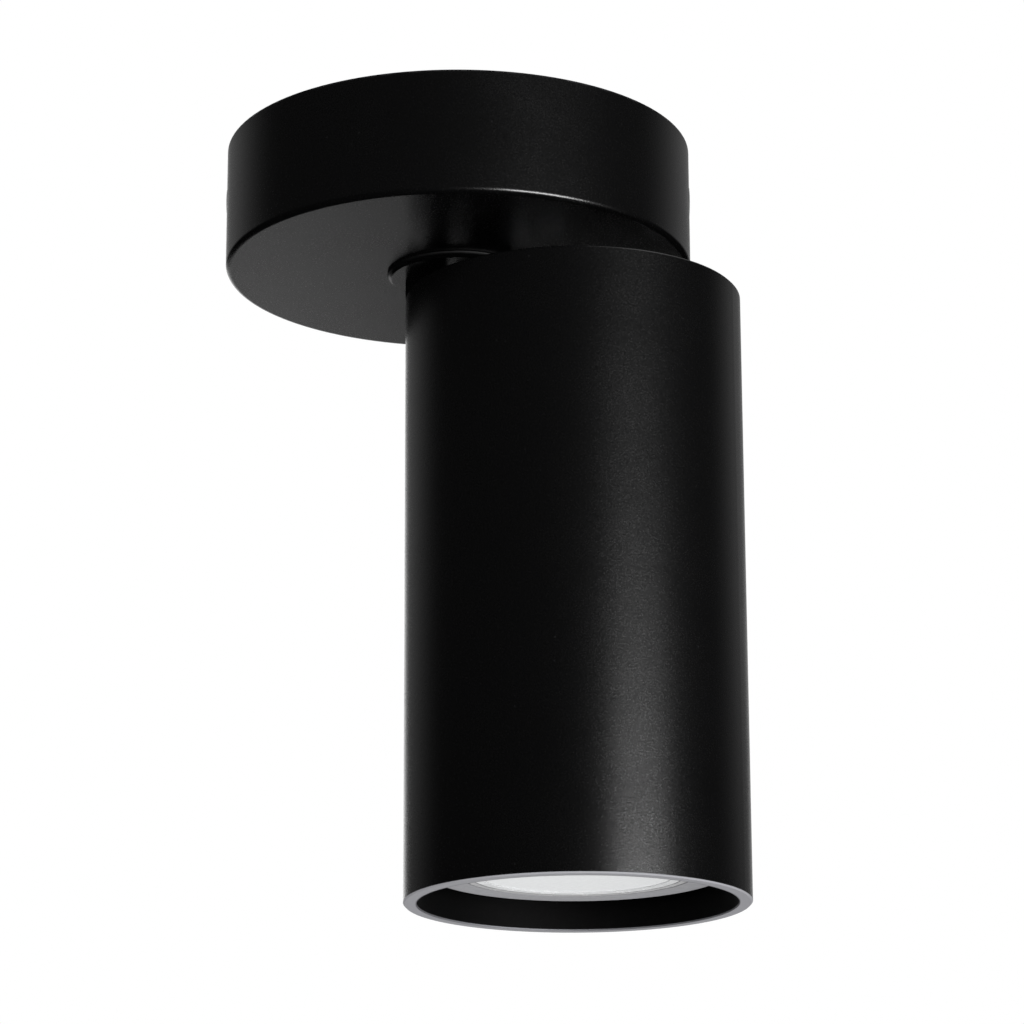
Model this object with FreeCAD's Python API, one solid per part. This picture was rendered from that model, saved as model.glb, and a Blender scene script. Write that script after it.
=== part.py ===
import FreeCAD, Part
import math
import os

from FreeCAD import Rotation, Vector

# Surface mounted ceiling spotlight. Millimetres, +Z up. The origin is the centre of the face that
# lies on the ceiling, and X runs along the ceiling strap. The swivel and the lamp head are drawn in
# the swivel's own frame, where the lamp tube stands off along +X and the tilt pin lies along Y, and
# are then turned about Z to the pan angle at which the light hangs at rest.

# ---- driving dimensions ----

# canopy, the cup on the ceiling
canopy_diameter = 80.0
canopy_height = 21.3
canopy_wall = 1.5
canopy_edge_radius = 0.9

# lamp head
head_gap = 7.7
tube_length = 103.3
tube_wall = 2.2
lamp_diameter = 50.0
lamp_side_gap = 1.2
lamp_recess = 4.6
cap_thickness = 2.5
pan_at_rest = -20.6
rim_chamfer = 0.25

# swivel casting: disc, hollow stem and tilt tongue
disc_radius = 12.2
disc_face_radius = 11.5
disc_thickness = 0.95
stem_radius = 5.0
stem_bore_radius = 3.2
stem_flat_depth = 0.7
tongue_thickness = 4.0
tongue_head_half_width = 9.0
tongue_head_drop = 3.6
tongue_half_width = 4.5
tongue_fillet = 3.0
tongue_corner_radius = 0.8
window_half_width = 2.8
window_height = 4.2

# pan stack on the stem, from the canopy's floor up
pan_washer_radius = 8.8
pan_washer_thickness = 0.8
stop_washer_radius = 8.6
stop_washer_thickness = 1.0
stop_tab_reach = 12.0
stop_tab_width = 2.4
stop_pin_radius = 1.0
stop_pin_circle = 10.5
wave_washer_thickness = 0.8
wave_washer_radius = 7.4
pan_nut_flats = 14.0
pan_nut_height = 3.0
stem_stand_out = 0.9

# tilt hinge
pivot_depth = 7.0
pivot_inset = 7.5
pivot_radius = 2.0
ear_thickness = 1.5
ear_radius = 5.0
tilt_washer_thickness = 0.5
tilt_washer_radius = 4.1
tilt_head_radius = 3.5
tilt_head_height = 2.2
tilt_spring_thickness = 0.8
tilt_nut_flats = 7.0
tilt_nut_height = 4.5
tilt_screw_stand_out = 0.6
hinge_plate_reach = 21.0
hinge_plate_half_width = 6.0
hinge_screw_places = (10.5, 17.0)

# ceiling strap
strap_thickness = 1.5
strap_width = 18.0
strap_ear_width = 12.0
strap_ear_drop = 13.0
strap_taper = 9.0
strap_centre_hole = 5.25
ceiling_screw_spacing = 44.0
ceiling_slot_half_width = 2.25
ceiling_slot_length = 12.0
side_screw_drop = 8.5
side_screw_length = 7.0

# terminal block
block_length = 26.0
block_depth = 17.0
block_height = 12.0
block_deck_height = 7.5
block_boss_height = 2.5
block_boss_radius = 2.4
pole_count = 3
pole_pitch = 8.5
pole_bore_radius = 1.75
pole_sleeve_radius = 2.5
pole_height = 4.6
sleeve_inset = 1.4
clamp_screw_spread = 4.4
clamp_screw_length = 5.6
clamp_well_radius = 2.0
fixing_screw_radius = 1.25
fixing_head_radius = 2.3
nut_to_block_gap = 1.6

# earth stud
earth_stud_radius = 2.0
earth_stud_height = 10.0
earth_place = (-25.0, 17.0)
ring_radius = 4.0
small_ring_radius = 3.3
ring_thickness = 0.8
ring_barrel_length = 5.0
ring_barrel_radius = 1.5
earth_nut_height = 3.2

# leads and their sleeve
lead_radius = 0.75
sleeve_radius = 1.9
sleeve_first_bend = 3.6
sleeve_second_bend = 3.5
sleeve_place = (3.0, 9.5)
sleeve_drop_in_head = 13.0
lead_spread = 0.95
lead_bend = 3.8
lead_bow = 5.0
lead_step = 2.2
grommet_flange_radius = 3.5
grommet_neck_radius = 2.7
grommet_flange_thickness = 0.8

# lampholder and its bracket
bracket_thickness = 1.2
bracket_width = 16.0
bracket_wall_gap = 6.5
bracket_flange = 10.0
bracket_screw_spread = 4.5
holder_radius = 13.5
holder_height = 15.0
holder_screw_spread = 9.0
contact_barrel_radius = 1.5
contact_barrel_height = 5.0
head_ring_reach = 15.5

# lamp
lamp_length = 54.0
pin_spacing = 10.0
pin_neck_radius = 1.5
pin_head_radius = 2.5
pin_head_height = 2.4
pin_length = 7.0
lamp_unlock_angle = 22.0
lamp_wall = 1.2
lamp_face_radius = 23.5
lamp_lip_inner_radius = 19.2
lamp_lip_thickness = 2.2
lens_ring_radius = 18.9
lens_ring_thickness = 2.0
lens_radius = 15.7
lens_seat_radius = 14.4
lens_thickness = 1.0
lamp_straight = 8.0
lamp_waist_radius = 17.0
lamp_waist_height = 31.0
lamp_base_radius = 13.4
lamp_base_height = 12.0
lamp_base_wall = 1.5
board_thickness = 1.6
board_depth = 9.0
led_size = 3.0
led_height = 0.7
led_circle = 10.0
led_count = 6
driver_width = 15.0
driver_thickness = 1.2

# fits and clearances
running_gap = 0.05
shaft_clearance = 0.05
thread_clearance = 0.05
press_clearance = 0.02
wall_clearance = 0.4
slot_side_gap = 0.5
slot_end_gap = 0.5
lamp_seat_gap = 0.4
pin_slot_gap = 0.3
small_gap = 0.15
disc_stand_off = 0.1

# screws: shank radius, head radius and head height of the M3 pan-head screws inside
screw_radius = 1.5
screw_head_radius = 2.75
screw_head_height = 1.9
screw_countersink_radius = 2.8

# shares of a neighbouring size, for details that only follow it
screw_round_share = 0.45
recess_reach_share = 0.62
recess_arm_share = 0.22
recess_depth_share = 0.45
socket_share = 0.7
socket_depth_share = 0.6
nut_chamfer_share = 0.2
nut_collar_share = 0.3
nut_collar_radius_share = 0.44
strap_bend_share = 0.9
tower_width_share = 0.42
tower_depth_share = 0.43
slot_width_share = 0.25
ring_link_share = 0.85
holder_screw_share = 0.5
holder_thread_share = 0.6
contact_foot_share = 0.5
contact_tuck_share = 0.4
route_reach_share = 0.45

# heights of each lead's corners in the tube, as shares of the drop from the sleeve to the contacts
live_route_shares = (0.45, 0.3)
neutral_route_shares = (0.6, 0.5, 0.2)
earth_route_shares = (0.7, 0.6)

# the driver's components: half width, depth, bottom and top as shares of the board's width and height
capacitor_shares = (0.22, 0.44, 0.06, 0.5)
choke_shares = (0.28, 0.35, 0.08, 0.42)
chip_shares = (0.16, 0.1, 0.6, 0.8)

# how near two lengths count as the same
tolerance = 1e-6

# middle of a quarter turn, as a share of its radius along each of the two directions
arc_middle = math.sqrt(0.5)

# ---- places that follow from them ----

canopy_radius = canopy_diameter / 2
canopy_inner_radius = canopy_radius - canopy_wall
canopy_under = -canopy_height
canopy_floor = canopy_under + canopy_wall

tube_inner_radius = lamp_diameter / 2 + lamp_side_gap
tube_radius = tube_inner_radius + tube_wall
tube_offset = tube_radius - pivot_inset
tube_top = canopy_under - head_gap
tube_rim = tube_top - tube_length
cap_under = tube_top - cap_thickness
pivot_z = tube_top - pivot_depth

disc_top = canopy_under - disc_stand_off
disc_face = disc_top - disc_thickness
tongue_half = tongue_thickness / 2
slot_half_width = tongue_half + slot_side_gap
slot_reach = tongue_half_width + slot_end_gap
shoulder_z = disc_face - tongue_head_drop
window_bottom = disc_face - window_height

pan_washer_top = canopy_floor + pan_washer_thickness
stop_washer_under = pan_washer_top + running_gap
stop_washer_top = stop_washer_under + stop_washer_thickness
wave_washer_top = stop_washer_top + wave_washer_thickness
pan_nut_top = wave_washer_top + pan_nut_height
stem_top = pan_nut_top + stem_stand_out
pan_nut_corner = pan_nut_flats / math.sqrt(3)

ear_inner = tongue_half + tilt_washer_thickness + 2 * running_gap
ear_outer = ear_inner + ear_thickness
hinge_plate_under = cap_under - ear_thickness

block_floor = canopy_floor + block_boss_height
block_deck = block_floor + block_deck_height
block_top = block_floor + block_height
block_y0 = pan_nut_corner + nut_to_block_gap
block_y = block_y0 + block_length / 2
pole_z = block_floor + pole_height
pole_places = [block_y + (i - (pole_count - 1) / 2) * pole_pitch for i in range(pole_count)]
fixing_places = [block_y - pole_pitch / 2, block_y + pole_pitch / 2]

lamp_face = tube_rim + lamp_recess
lamp_top = lamp_face + lamp_length - pin_length
lamp_base_under = lamp_top - lamp_base_height
pin_tip = lamp_top + pin_length
holder_under = lamp_top + lamp_seat_gap
holder_top = holder_under + holder_height
pocket_under = pin_tip - pin_head_height - pin_slot_gap
pocket_top = pin_tip + pin_slot_gap
bracket_leg_x = tube_offset + tube_inner_radius - bracket_wall_gap
shelf_top = holder_top + bracket_thickness
head_ring_x = tube_offset + head_ring_reach
barrel_top = holder_top + contact_barrel_height
lamp_base_floor = lamp_top - 2 * lamp_base_wall
pin_tail = lamp_base_floor - lamp_base_wall
housing_collar_top = lamp_base_under + 3 * lamp_wall
led_board_under = lamp_face + board_depth
driver_under = led_board_under + board_thickness + lamp_seat_gap
driver_top = pin_tail - small_gap

sleeve_level = disc_face - sleeve_radius - small_gap
sleeve_bend_top = sleeve_level + sleeve_first_bend
sleeve_landing = sleeve_level - sleeve_second_bend
# in a short tube the sleeve ends halfway down to the contacts, which leaves its leads room to spread
sleeve_end = max(cap_under - sleeve_drop_in_head, (cap_under + barrel_top) / 2)
lead_drop = sleeve_end - barrel_top


# ---- building blocks ----

def cylinder(radius, z0, z1, x=0.0, y=0.0):
    return Part.makeCylinder(radius, z1 - z0, Vector(x, y, z0))


def ring(outer, inner, z0, z1, x=0.0, y=0.0):
    return cylinder(outer, z0, z1, x, y).cut(cylinder(inner, z0, z1, x, y))


def block(x0, x1, y0, y1, z0, z1):
    return Part.makeBox(x1 - x0, y1 - y0, z1 - z0, Vector(x0, y0, z0))


def prism(points, z0, z1):
    """A straight-sided solid over an outline of (x, y) points."""
    corners = [Vector(x, y, z0) for x, y in points]
    face = Part.Face(Part.makePolygon(corners + corners[:1]))
    return face.extrude(Vector(0, 0, z1 - z0))


def hexagon(flats, z0, z1):
    corner = flats / math.sqrt(3)
    return prism([(corner * math.cos(math.radians(60 * k)), corner * math.sin(math.radians(60 * k)))
                  for k in range(6)], z0, z1)


def turned(outline, x=0.0, y=0.0):
    """A solid turned about a vertical axis from (radius, z) points, the first one repeated last."""
    corners = [Vector(radius, 0, z) for radius, z in outline]
    solid = Part.Face(Part.makePolygon(corners + corners[:1])).revolve(Vector(), Vector(0, 0, 1), 360)
    return moved(solid, x, y)


def joined(shapes):
    """One solid from pieces that run into each other."""
    return shapes[0].fuse(shapes[1:]).removeSplitter()


def group(shapes):
    """Several like pieces that stay apart in one node."""
    return Part.makeCompound(shapes)


def moved(shape, x=0.0, y=0.0, z=0.0):
    shape = shape.copy()
    shape.translate(Vector(x, y, z))
    return shape


def aimed(shape, place, direction):
    """Turns a shape drawn along +Z to point along a direction, with its origin at a place."""
    shape = shape.copy()
    shape.Placement = FreeCAD.Placement(Vector(*place), Rotation(Vector(0, 0, 1), Vector(*direction)))
    return shape.copy()


def panned(shape):
    """From the swivel's own frame to where it hangs at rest."""
    shape = shape.copy()
    shape.rotate(Vector(), Vector(0, 0, 1), pan_at_rest)
    return shape


def in_tube(shape):
    """Moves a piece drawn about the Z axis on to the tube's axis."""
    return moved(shape, tube_offset)


def pan_head_screw(length, radius=screw_radius, head_radius=screw_head_radius):
    """Under-head plane at z = 0, shank down, cross recess in the rounded head."""
    head = cylinder(head_radius, 0, screw_head_height)
    top_edges = [edge for edge in head.Edges if edge.BoundBox.ZMin > screw_head_height / 2]
    head = head.makeFillet(screw_head_height * screw_round_share, top_edges)
    slot = head_radius * recess_reach_share
    arm = radius * recess_arm_share
    floor = screw_head_height * (1 - recess_depth_share)
    recess = block(-slot, slot, -arm, arm, floor, screw_head_height)
    recess = recess.fuse(block(-arm, arm, -slot, slot, floor, screw_head_height))
    return joined([head, cylinder(radius, -length, 0)]).cut(recess)


def round_route(points, radii):
    """Straight runs joined by tangent arcs, one radius for each inner point."""
    edges = []
    start = points[0]
    for before, corner, after, radius in zip(points, points[1:], points[2:], radii):
        into = (corner - before).normalize()
        out_of = (after - corner).normalize()
        half_turn = into.getAngle(out_of) / 2
        reach = radius * math.tan(half_turn)
        arc_start = corner - into * reach
        arc_end = corner + out_of * reach
        inward = (out_of - into).normalize()
        middle = corner + inward * (radius / math.cos(half_turn) - radius)
        if (arc_start - start).Length > tolerance:
            edges.append(Part.LineSegment(start, arc_start).toShape())
        edges.append(Part.Arc(arc_start, middle, arc_end).toShape())
        start = arc_end
    edges.append(Part.LineSegment(start, points[-1]).toShape())
    return Part.Wire(edges)


def widest_radii(points):
    """The largest arcs that the runs leave room for: a share of the shorter run at each corner."""
    radii = []
    for before, corner, after in zip(points, points[1:], points[2:]):
        into = corner - before
        out_of = after - corner
        reach = route_reach_share * min(into.Length, out_of.Length)
        radii.append(reach / math.tan(into.getAngle(out_of) / 2))
    return radii


def round_rod(name, points, radius, radii=None):
    """A lead or sleeve along a route, checked against its section times its length."""
    radii = radii or widest_radii(points)
    route = round_route(points, radii)
    first = points[1] - points[0]
    section = Part.Wire(Part.Circle(points[0], first, radius).toShape())
    rod = route.makePipeShell([section], True, False)
    expected = math.pi * radius ** 2 * route.Length
    print(name, "length", round(route.Length, 1), "radii", [round(r, 1) for r in radii],
          "volume share", round(rod.Volume / expected, 4))
    return rod


# ---- canopy and what it holds ----

def make_canopy_cup():
    wall_bottom = canopy_under + canopy_edge_radius
    inner_edge = max(canopy_edge_radius - canopy_wall, small_gap)
    outer_centre = canopy_radius - canopy_edge_radius
    inner_centre = canopy_inner_radius - inner_edge
    inner_bottom = canopy_floor + inner_edge
    hole = stem_radius + shaft_clearance

    def at(radius, z):
        return Vector(radius, 0, z)

    outer_reach = canopy_edge_radius * arc_middle
    inner_reach = inner_edge * arc_middle
    outer_middle = at(outer_centre + outer_reach, wall_bottom - outer_reach)
    inner_middle = at(inner_centre + inner_reach, inner_bottom - inner_reach)
    inner_end = at(canopy_inner_radius, inner_bottom)
    edges = [
        Part.LineSegment(at(canopy_inner_radius, 0), at(canopy_radius, 0)).toShape(),
        Part.LineSegment(at(canopy_radius, 0), at(canopy_radius, wall_bottom)).toShape(),
        Part.Arc(at(canopy_radius, wall_bottom), outer_middle, at(outer_centre, canopy_under)).toShape(),
        Part.LineSegment(at(outer_centre, canopy_under), at(hole, canopy_under)).toShape(),
        Part.LineSegment(at(hole, canopy_under), at(hole, canopy_floor)).toShape(),
        Part.LineSegment(at(hole, canopy_floor), at(inner_centre, canopy_floor)).toShape(),
        Part.Arc(at(inner_centre, canopy_floor), inner_middle, inner_end).toShape(),
        Part.LineSegment(inner_end, at(canopy_inner_radius, 0)).toShape(),
    ]
    cup = Part.Face(Part.Wire(edges)).revolve(Vector(), Vector(0, 0, 1), 360)
    bosses = [cylinder(block_boss_radius, canopy_floor, block_floor, 0, y) for y in fixing_places]
    cup = joined([cup] + bosses)
    for y in fixing_places:
        cup = cup.cut(cylinder(fixing_screw_radius + thread_clearance, canopy_floor, block_floor, 0, y))
    cup = cup.cut(cylinder(stop_pin_radius + press_clearance, canopy_under, canopy_floor, *stop_pin_centre()))
    for side in (-1, 1):
        cup = cup.cut(side_screw(side, thread_clearance + small_gap))
    return cup


def stop_pin_centre():
    """Opposite the stop washer's tab when the light is at rest."""
    angle = math.radians(pan_at_rest + 180)
    return stop_pin_circle * math.cos(angle), stop_pin_circle * math.sin(angle)


def side_screw(side, allowance=0.0):
    """Countersunk screw through the canopy's wall into the strap's ear, its head flush with the wall."""
    head_outer = canopy_radius - small_gap
    cone_depth = screw_countersink_radius - screw_radius
    head = Part.makeCone(screw_countersink_radius + allowance, screw_radius + allowance, cone_depth)
    rim = cylinder(screw_countersink_radius + allowance, -small_gap - allowance, 0)
    shank = cylinder(screw_radius + allowance, 0, side_screw_length)
    screw = joined([head, rim, shank])
    if not allowance:
        socket = hexagon(screw_countersink_radius * socket_share, -small_gap, cone_depth)
        screw = screw.cut(socket)
    return aimed(screw, (side * head_outer, 0, -side_screw_drop), (-side, 0, 0))


def make_canopy_screws():
    return group([side_screw(side) for side in (-1, 1)])


def strap_ear_outer():
    half = strap_ear_width / 2
    return math.sqrt(canopy_inner_radius ** 2 - half ** 2) - wall_clearance


def make_ceiling_strap():
    outer = strap_ear_outer()
    half_width = strap_width / 2
    half_ear = strap_ear_width / 2
    taper = outer - strap_taper
    plate = prism([(-outer, -half_ear), (-taper, -half_width), (taper, -half_width), (outer, -half_ear),
                   (outer, half_ear), (taper, half_width), (-taper, half_width), (-outer, half_ear)],
                  -strap_thickness, 0)
    ears = [block(side * outer - (strap_thickness if side > 0 else 0),
                  side * outer + (0 if side > 0 else strap_thickness),
                  -half_ear, half_ear, -strap_ear_drop, -strap_thickness / 2) for side in (-1, 1)]
    strap = joined([plate] + ears)
    bend_edges = [edge for edge in strap.Edges
                  if abs(edge.BoundBox.ZMax) < tolerance and edge.BoundBox.XLength < tolerance
                  and abs(abs(edge.BoundBox.XMin) - outer) < tolerance]
    strap = strap.makeFillet(strap_thickness * strap_bend_share, bend_edges)
    strap = strap.cut(cylinder(strap_centre_hole, -strap_thickness, 0))
    straight = ceiling_slot_length / 2 - ceiling_slot_half_width
    for side in (-1, 1):
        middle = side * ceiling_screw_spacing / 2
        slot = joined([cylinder(ceiling_slot_half_width, -strap_thickness, 0, middle + shift)
                       for shift in (-straight, straight)]
                      + [block(middle - straight, middle + straight, -ceiling_slot_half_width,
                               ceiling_slot_half_width, -strap_thickness, 0)])
        strap = strap.cut(slot)
        thread = Part.makeCylinder(screw_radius + thread_clearance, 3 * strap_thickness,
                                   Vector(side * outer - 1.5 * strap_thickness, 0, -side_screw_drop),
                                   Vector(1, 0, 0))
        strap = strap.cut(thread)
    return strap


def make_pan_stop_pin():
    return cylinder(stop_pin_radius, canopy_under, stop_washer_top, *stop_pin_centre())


def make_pan_friction_washer():
    return ring(pan_washer_radius, stem_radius + shaft_clearance, canopy_floor, pan_washer_top)


# ---- terminal block ----

def pole_bore(y, radius):
    return Part.makeCylinder(radius, block_depth, Vector(-block_depth / 2, y, pole_z), Vector(1, 0, 0))


def clamp_places():
    return [(side * clamp_screw_spread, y) for y in pole_places for side in (-1, 1)]


def make_terminal_block():
    half = block_depth / 2
    body = block(-half, half, block_y - block_length / 2, block_y + block_length / 2,
                 block_floor, block_deck)
    towers = []
    depth = block_depth * tower_depth_share
    width = pole_pitch * tower_width_share
    for y in pole_places:
        towers.append(block(-depth, depth, y - width, y + width, block_floor, block_top))
    body = joined([body] + towers)
    body = body.cut(group([pole_bore(y, pole_sleeve_radius + small_gap) for y in pole_places]))
    for x, y in clamp_places():
        body = body.cut(cylinder(clamp_well_radius, pole_z, block_top, x, y))
    for y in fixing_places:
        body = body.cut(cylinder(fixing_screw_radius + small_gap, block_floor, block_deck, 0, y))
        body = body.cut(cylinder(fixing_head_radius + small_gap, block_deck, block_top, 0, y))
    return body


def make_terminal_sleeves():
    sleeves = []
    for y in pole_places:
        tube = Part.makeCylinder(pole_sleeve_radius, block_depth - 2 * sleeve_inset,
                                 Vector(sleeve_inset - block_depth / 2, y, pole_z), Vector(1, 0, 0))
        tube = tube.cut(pole_bore(y, pole_bore_radius))
        for side in (-1, 1):
            tube = tube.cut(cylinder(screw_radius + thread_clearance, pole_z, block_top,
                                     side * clamp_screw_spread, y))
        sleeves.append(tube)
    return group(sleeves)


def make_terminal_screws():
    """Screwed down on the lamp's own leads, and backed off on the side where the supply goes in."""
    screws = []
    for x, y in clamp_places():
        if x > 0:
            tip = pole_z + pole_bore_radius - small_gap
        elif y == pole_places[-1]:
            tip = pole_z + paired_lead_z() + lead_radius + running_gap
        else:
            tip = pole_z + single_lead_z() + lead_radius + running_gap
        top = tip + clamp_screw_length
        screw = cylinder(screw_radius, tip, top, x, y)
        slot_half = screw_radius * slot_width_share
        slot = block(x - clamp_well_radius, x + clamp_well_radius, y - slot_half, y + slot_half,
                     top - screw_radius / 2, top)
        screws.append(screw.cut(slot))
    return group(screws)


def single_lead_z():
    """Height of a lead that lies on the bottom of its terminal sleeve, from the sleeve's axis."""
    return lead_radius + running_gap - pole_bore_radius


def paired_lead_z():
    """The same where two leads lie side by side."""
    return running_gap - math.sqrt((pole_bore_radius - lead_radius) ** 2 - paired_lead_y() ** 2)


def paired_lead_y():
    return lead_radius + running_gap / 2


def make_terminal_fixing_screws():
    length = block_deck - canopy_floor - small_gap
    screw = pan_head_screw(length, fixing_screw_radius, fixing_head_radius)
    return group([moved(screw, 0, y, block_deck) for y in fixing_places])


# ---- earth stud and ring terminals ----

def ring_terminal(eye_radius, hole_radius):
    """Ring at the origin with its barrel towards +X, lying on z = 0."""
    eye = ring(eye_radius, hole_radius, 0, ring_thickness)
    link = block(eye_radius * ring_link_share, eye_radius + ring_thickness, -ring_barrel_radius,
                 ring_barrel_radius, 0, ring_thickness)
    barrel_x = eye_radius + ring_thickness / 2
    barrel = Part.makeCylinder(ring_barrel_radius, ring_barrel_length,
                               Vector(barrel_x, 0, ring_barrel_radius), Vector(1, 0, 0))
    bore = Part.makeCylinder(lead_radius + shaft_clearance, ring_barrel_length,
                             Vector(barrel_x + ring_thickness, 0, ring_barrel_radius), Vector(1, 0, 0))
    return joined([eye, link, barrel]).cut(bore)


def ring_mouth(eye_radius):
    """How far the open end of a ring terminal's barrel stands from its eye's centre."""
    return eye_radius + ring_thickness / 2 + ring_barrel_length


def make_earth_stud():
    flange = cylinder(ring_radius, 0, ring_thickness)
    stud = joined([flange, cylinder(earth_stud_radius, 0, earth_stud_height)])
    return moved(stud, *earth_place, canopy_floor)


def make_earth_ring():
    terminal = ring_terminal(ring_radius, earth_stud_radius + shaft_clearance)
    return moved(terminal, *earth_place, canopy_floor + ring_thickness)


def make_earth_nut():
    under = canopy_floor + 2 * ring_thickness
    nut = hexagon(tilt_nut_flats, under, under + earth_nut_height)
    nut = nut.cut(cylinder(earth_stud_radius + thread_clearance, under, under + earth_nut_height))
    return moved(nut, *earth_place)


# ---- leads in the canopy ----

def lead_seats():
    """Where the three leads stand in the sleeve's mouth, in the swivel's frame."""
    turns = [math.radians(angle) for angle in (90, 210, 330)]
    return [Vector(lead_spread * math.cos(turn), lead_spread * math.sin(turn), 0) for turn in turns]


def canopy_lead(index):
    """From one pole of the terminal block, over the pan nut and down to the sleeve's mouth in the stem.

    The middle lead lands nearest and turns down first, under the other two.
    """
    last = index == pole_count - 1
    start_y = pole_places[index] + (paired_lead_y() if last else 0)
    start_z = pole_z + (paired_lead_z() if last else single_lead_z())
    landing = Rotation(Vector(0, 0, 1), pan_at_rest).multVec(lead_seats()[index])
    bow = -block_depth / 2 - lead_bow - lead_step * index
    highest = -strap_thickness - wall_clearance - lead_radius
    over = highest - (lead_step if index == 1 else 0)
    points = [
        Vector(-clamp_screw_spread, start_y, start_z),
        Vector(bow, start_y, start_z),
        Vector(bow, 2 * lead_step - lead_step * index, over - lead_step),
        Vector(landing.x, landing.y, over),
        Vector(landing.x, landing.y, stem_top + small_gap),
    ]
    return round_rod(f"canopy lead {index}", points, lead_radius, widest_radii(points)[:-1] + [lead_bend])


def make_canopy_lead_live():
    return canopy_lead(0)


def make_canopy_lead_neutral():
    return canopy_lead(1)


def make_canopy_lead_earth():
    return canopy_lead(2)


def make_earth_lead():
    """From the earth pole, under the other leads, to the ring terminal on the canopy's stud."""
    x, y = earth_place
    start_y = pole_places[-1] - paired_lead_y()
    start_z = pole_z + paired_lead_z()
    level = canopy_floor + ring_thickness + ring_barrel_radius
    mouth = x + ring_mouth(ring_radius)
    points = [
        Vector(-clamp_screw_spread, start_y, start_z),
        Vector(-block_depth / 2 - lead_bend, start_y, start_z),
        Vector(mouth + lead_bend, y, level),
        Vector(mouth - ring_barrel_length / 2, y, level),
    ]
    return round_rod("earth lead", points, lead_radius)


# ---- swivel ----

def make_swivel_arm():
    """One casting: the disc under the canopy, the hollow threaded stem and the tilt tongue."""
    disc = turned([(0, disc_top), (disc_radius, disc_top),
                   (disc_radius, disc_face + disc_radius - disc_face_radius),
                   (disc_face_radius, disc_face), (0, disc_face)])
    stem = cylinder(stem_radius, disc_face, stem_top)
    flat = block(-stem_radius, -stem_radius + stem_flat_depth, -stem_radius, stem_radius,
                 pan_washer_top, stem_top)
    arm = joined([disc, stem.cut(flat), tongue()])
    arm = arm.cut(cylinder(stem_bore_radius, disc_face, stem_top))
    arm = arm.cut(block(-window_half_width, window_half_width, -tongue_half, tongue_half,
                        window_bottom, disc_face))
    pin_hole = Part.makeCylinder(pivot_radius + shaft_clearance, tongue_thickness,
                                 Vector(0, -tongue_half, pivot_z), Vector(0, 1, 0))
    return arm.cut(pin_hole)


def tongue():
    """Flat plate across the tilt axis: wide under the disc, then a neck with a round end."""
    wide = tongue_head_half_width
    neck = tongue_half_width
    fillet = tongue_fillet
    corner = tongue_corner_radius
    fillet_inset = fillet * (1 - arc_middle)
    corner_inset = corner * (1 - arc_middle)
    top = disc_face + disc_thickness / 2

    def at(x, z):
        return Vector(x, -tongue_half, z)

    edges = [Part.LineSegment(at(-wide, top), at(wide, top)).toShape()]
    for side in (1, -1):
        corner_start = at(side * wide, shoulder_z + corner)
        corner_middle = at(side * (wide - corner_inset), shoulder_z + corner_inset)
        corner_end = at(side * (wide - corner), shoulder_z)
        fillet_start = at(side * (neck + fillet), shoulder_z)
        fillet_middle = at(side * (neck + fillet_inset), shoulder_z - fillet_inset)
        fillet_end = at(side * neck, shoulder_z - fillet)
        edges += [
            Part.LineSegment(at(side * wide, top), corner_start).toShape(),
            Part.Arc(corner_start, corner_middle, corner_end).toShape(),
            Part.LineSegment(corner_end, fillet_start).toShape(),
            Part.Arc(fillet_start, fillet_middle, fillet_end).toShape(),
            Part.LineSegment(fillet_end, at(side * neck, pivot_z)).toShape(),
        ]
    edges.append(Part.Arc(at(neck, pivot_z), at(0, pivot_z - neck), at(-neck, pivot_z)).toShape())
    outline = Part.Wire(Part.__sortEdges__(edges))
    return Part.Face(outline).extrude(Vector(0, tongue_thickness, 0))


def stem_keyed_bore(z0, z1):
    """The stem's section with its flat, a fit larger all round."""
    bore = cylinder(stem_radius + shaft_clearance, z0, z1)
    flat_x = -stem_radius + stem_flat_depth - shaft_clearance
    return bore.cut(block(-2 * stem_radius, flat_x, -2 * stem_radius, 2 * stem_radius, z0, z1))


def make_pan_stop_washer():
    disc = cylinder(stop_washer_radius, stop_washer_under, stop_washer_top)
    half = stop_tab_width / 2
    tab = block(0, stop_tab_reach, -half, half, stop_washer_under, stop_washer_top)
    return joined([disc, tab]).cut(stem_keyed_bore(stop_washer_under, stop_washer_top))


def make_pan_spring_washer():
    return ring(wave_washer_radius, stem_radius + shaft_clearance, stop_washer_top, wave_washer_top)


def make_pan_nut():
    nut = hexagon(pan_nut_flats, wave_washer_top, pan_nut_top)
    chamfer = pan_nut_height * nut_chamfer_share
    crown = turned([(0, wave_washer_top), (pan_nut_flats / 2, wave_washer_top),
                    (pan_nut_corner, wave_washer_top + chamfer),
                    (pan_nut_corner, pan_nut_top - chamfer),
                    (pan_nut_flats / 2, pan_nut_top), (0, pan_nut_top)])
    return nut.common(crown).cut(cylinder(stem_radius + thread_clearance, wave_washer_top, pan_nut_top))


def make_stem_sleeve():
    return cylinder(sleeve_radius, sleeve_bend_top, stem_top)


def make_hinge_sleeve():
    """Out of the stem through the tongue's window and over to the grommet in the tube's cap."""
    x, y = sleeve_place
    points = [Vector(0, 0, sleeve_bend_top), Vector(0, 0, sleeve_level),
              Vector(x, y, sleeve_level), Vector(x, y, sleeve_landing)]
    return bent_sleeve(points)


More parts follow.
